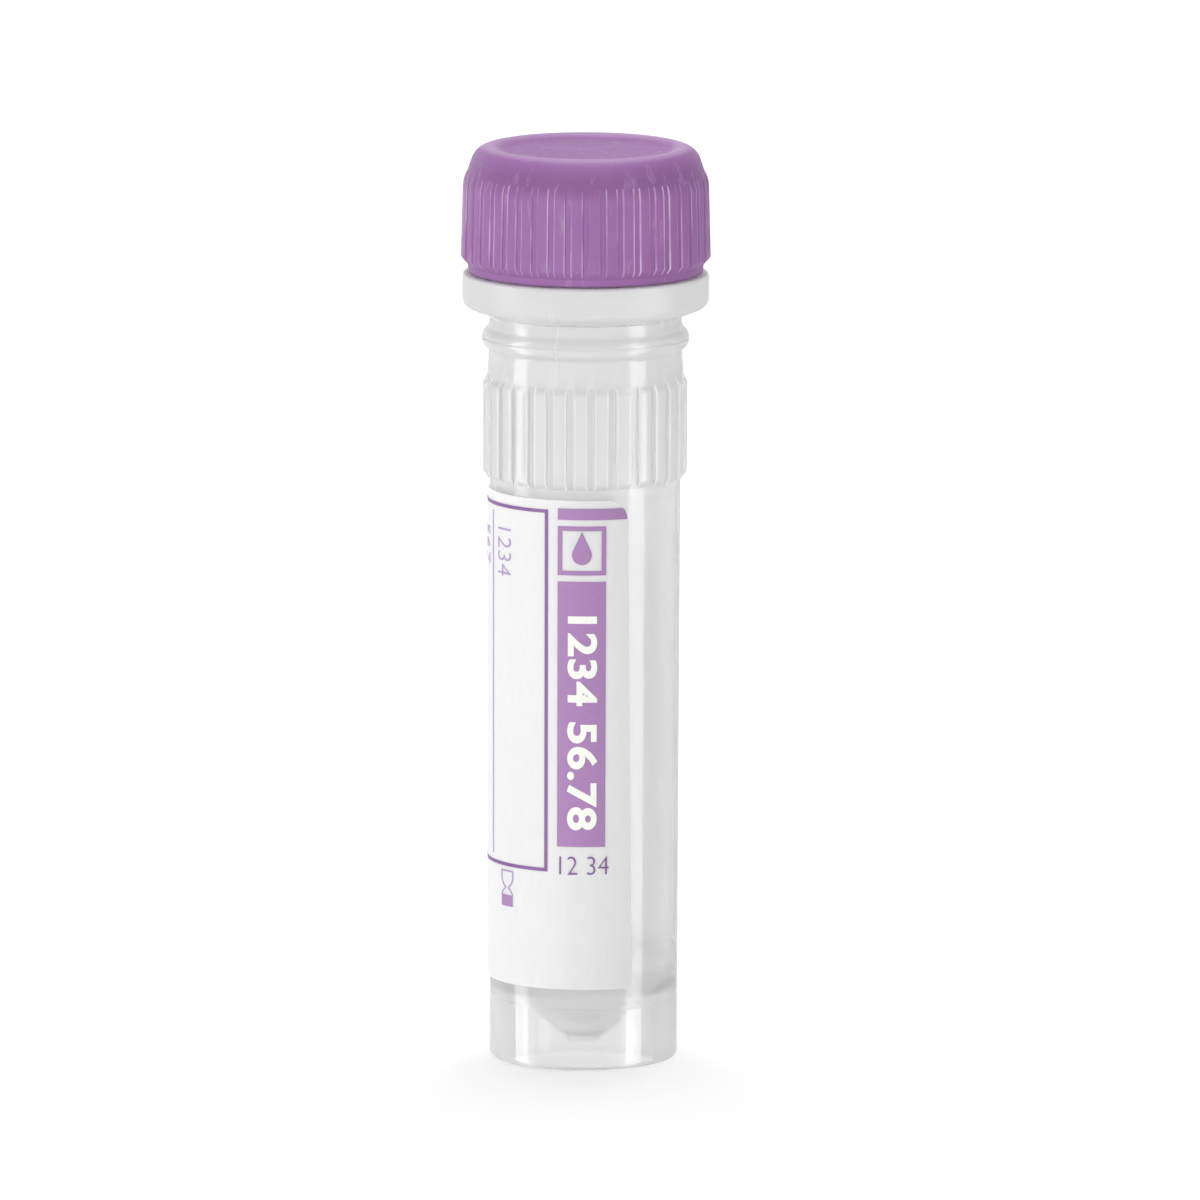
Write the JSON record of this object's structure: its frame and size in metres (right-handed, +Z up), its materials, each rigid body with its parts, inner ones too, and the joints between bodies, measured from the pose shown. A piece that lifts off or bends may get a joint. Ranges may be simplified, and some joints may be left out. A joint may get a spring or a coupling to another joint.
{
  "type": "blood collection tube",
  "caption": "Small screw-cap tube with a ribbed cap, collar, grip ribs, conical false bottom and wrap-round label.",
  "frame": {"origin": "centre of the foot, on the plane that the tube stands on", "axes": "+Z up along the tube's axis, towards the cap; the front of the label faces -Y"},
  "size_m": [0.0132, 0.0132, 0.0485],
  "materials": {
    "natural_plastic": "translucent moulded polypropylene with a satin collar",
    "cap_plastic": "satin moulded polyethylene",
    "seal_rubber": "soft silicone",
    "label_paper": "semi-gloss coated paper",
    "label_ink": "printed ink"
  },
  "bodies": {
    "tube": {"tube": "natural_plastic", "label": "label_paper", "label_print": "label_ink"},
    "seal": {"seal_ring": "seal_rubber"},
    "cap": {"screw_cap": "cap_plastic"}
  },
  "joints": [
    {"name": "cap_lift", "type": "slide", "parent": "tube", "child": "seal", "axis": [0, 0, 1], "range_m": [0, 0.0065]},
    {"name": "cap_turn", "type": "hinge", "parent": "seal", "child": "cap", "pos_m": [0, 0, 0.0445], "axis": [0, 0, 1], "range_deg": [0, 1170]}
  ],
  "couplings": [
    {"joint": "cap_turn", "follows": "cap_lift", "rad_per_m": 3141.6}
  ]
}
